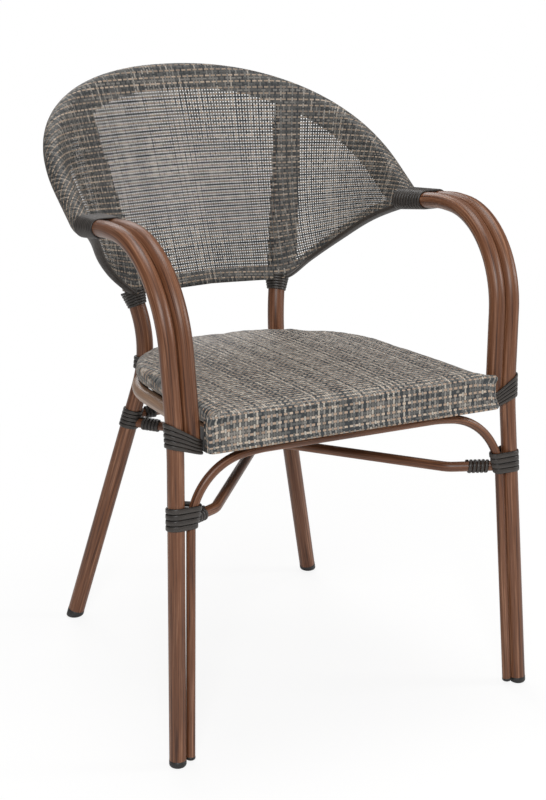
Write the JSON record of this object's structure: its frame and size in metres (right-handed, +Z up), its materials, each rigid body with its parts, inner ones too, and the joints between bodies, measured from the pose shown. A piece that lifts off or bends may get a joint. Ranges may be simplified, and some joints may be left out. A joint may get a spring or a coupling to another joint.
{
  "type": "chair",
  "caption": "Outdoor bistro armchair: bent tube frame with a rattan look, wrapped joints, crossed stretchers, woven seat and curved woven backrest.",
  "frame": {"origin": "centre of the footprint on the floor, under the middle of the chair", "axes": "+X to the sitter's left, +Y from the front towards the backrest, +Z up"},
  "size_m": [0.5568, 0.6078, 0.8337],
  "materials": {
    "tube": "satin, streaked brown bamboo effect",
    "rail": "satin grey tan",
    "cane": "woven synthetic cane in grey, beige and black",
    "band": "dark woven edge band",
    "strip": "matt charcoal strip",
    "board": "dark base panel",
    "steel": "plain zinc finish",
    "cap": "matt black"
  },
  "bodies": {
    "root": {"front_leg_arm_left": "tube", "front_leg_arm_right": "tube", "inner_arm_tube_left": "tube", "inner_arm_tube_right": "tube", "back_leg_post_left": "tube", "back_leg_post_right": "tube", "back_hoop": "tube", "front_arch": "tube", "cross_stretcher_through": "tube", "cross_stretcher_half_front": "tube", "cross_stretcher_half_rear": "tube", "rear_crossbar": "tube", "rear_stub_left": "tube", "rear_stub_right": "tube", "seat_rail": "rail", "seat_front_rail": "rail", "seat_front_face": "cane", "seat_cushion": "cane", "backrest_fabric": "cane", "post_sleeve_left": "band", "post_sleeve_right": "band", "wing_binding_left": "band", "wing_binding_right": "band", "arm_wrap_left": "strip", "arm_wrap_right": "strip", "seat_joint_wrap_left": "strip", "seat_joint_wrap_right": "strip", "lower_joint_wrap_left": "strip", "lower_joint_wrap_right": "strip", "back_leg_wrap_left": "strip", "back_leg_wrap_right": "strip", "seat_tie_wrap_left": "strip", "seat_tie_wrap_right": "strip", "post_foot_wrap_left": "strip", "post_foot_wrap_right": "strip", "stretcher_front_wrap_left": "strip", "stretcher_front_wrap_right": "strip", "stretcher_rear_wrap_left": "strip", "stretcher_rear_wrap_right": "strip", "crossbar_wrap_left": "strip", "crossbar_wrap_right": "strip", "seat_base_board": "board", "board_screw_front_left": "steel", "board_screw_front_right": "steel", "board_screw_rear_left": "steel", "board_screw_rear_right": "steel", "side_plate_left": "steel", "side_plate_right": "steel", "front_foot_cap_left": "cap", "front_foot_cap_right": "cap", "arch_foot_cap_left": "cap", "arch_foot_cap_right": "cap", "back_foot_cap_left": "cap", "back_foot_cap_right": "cap"}
  },
  "joints": []
}
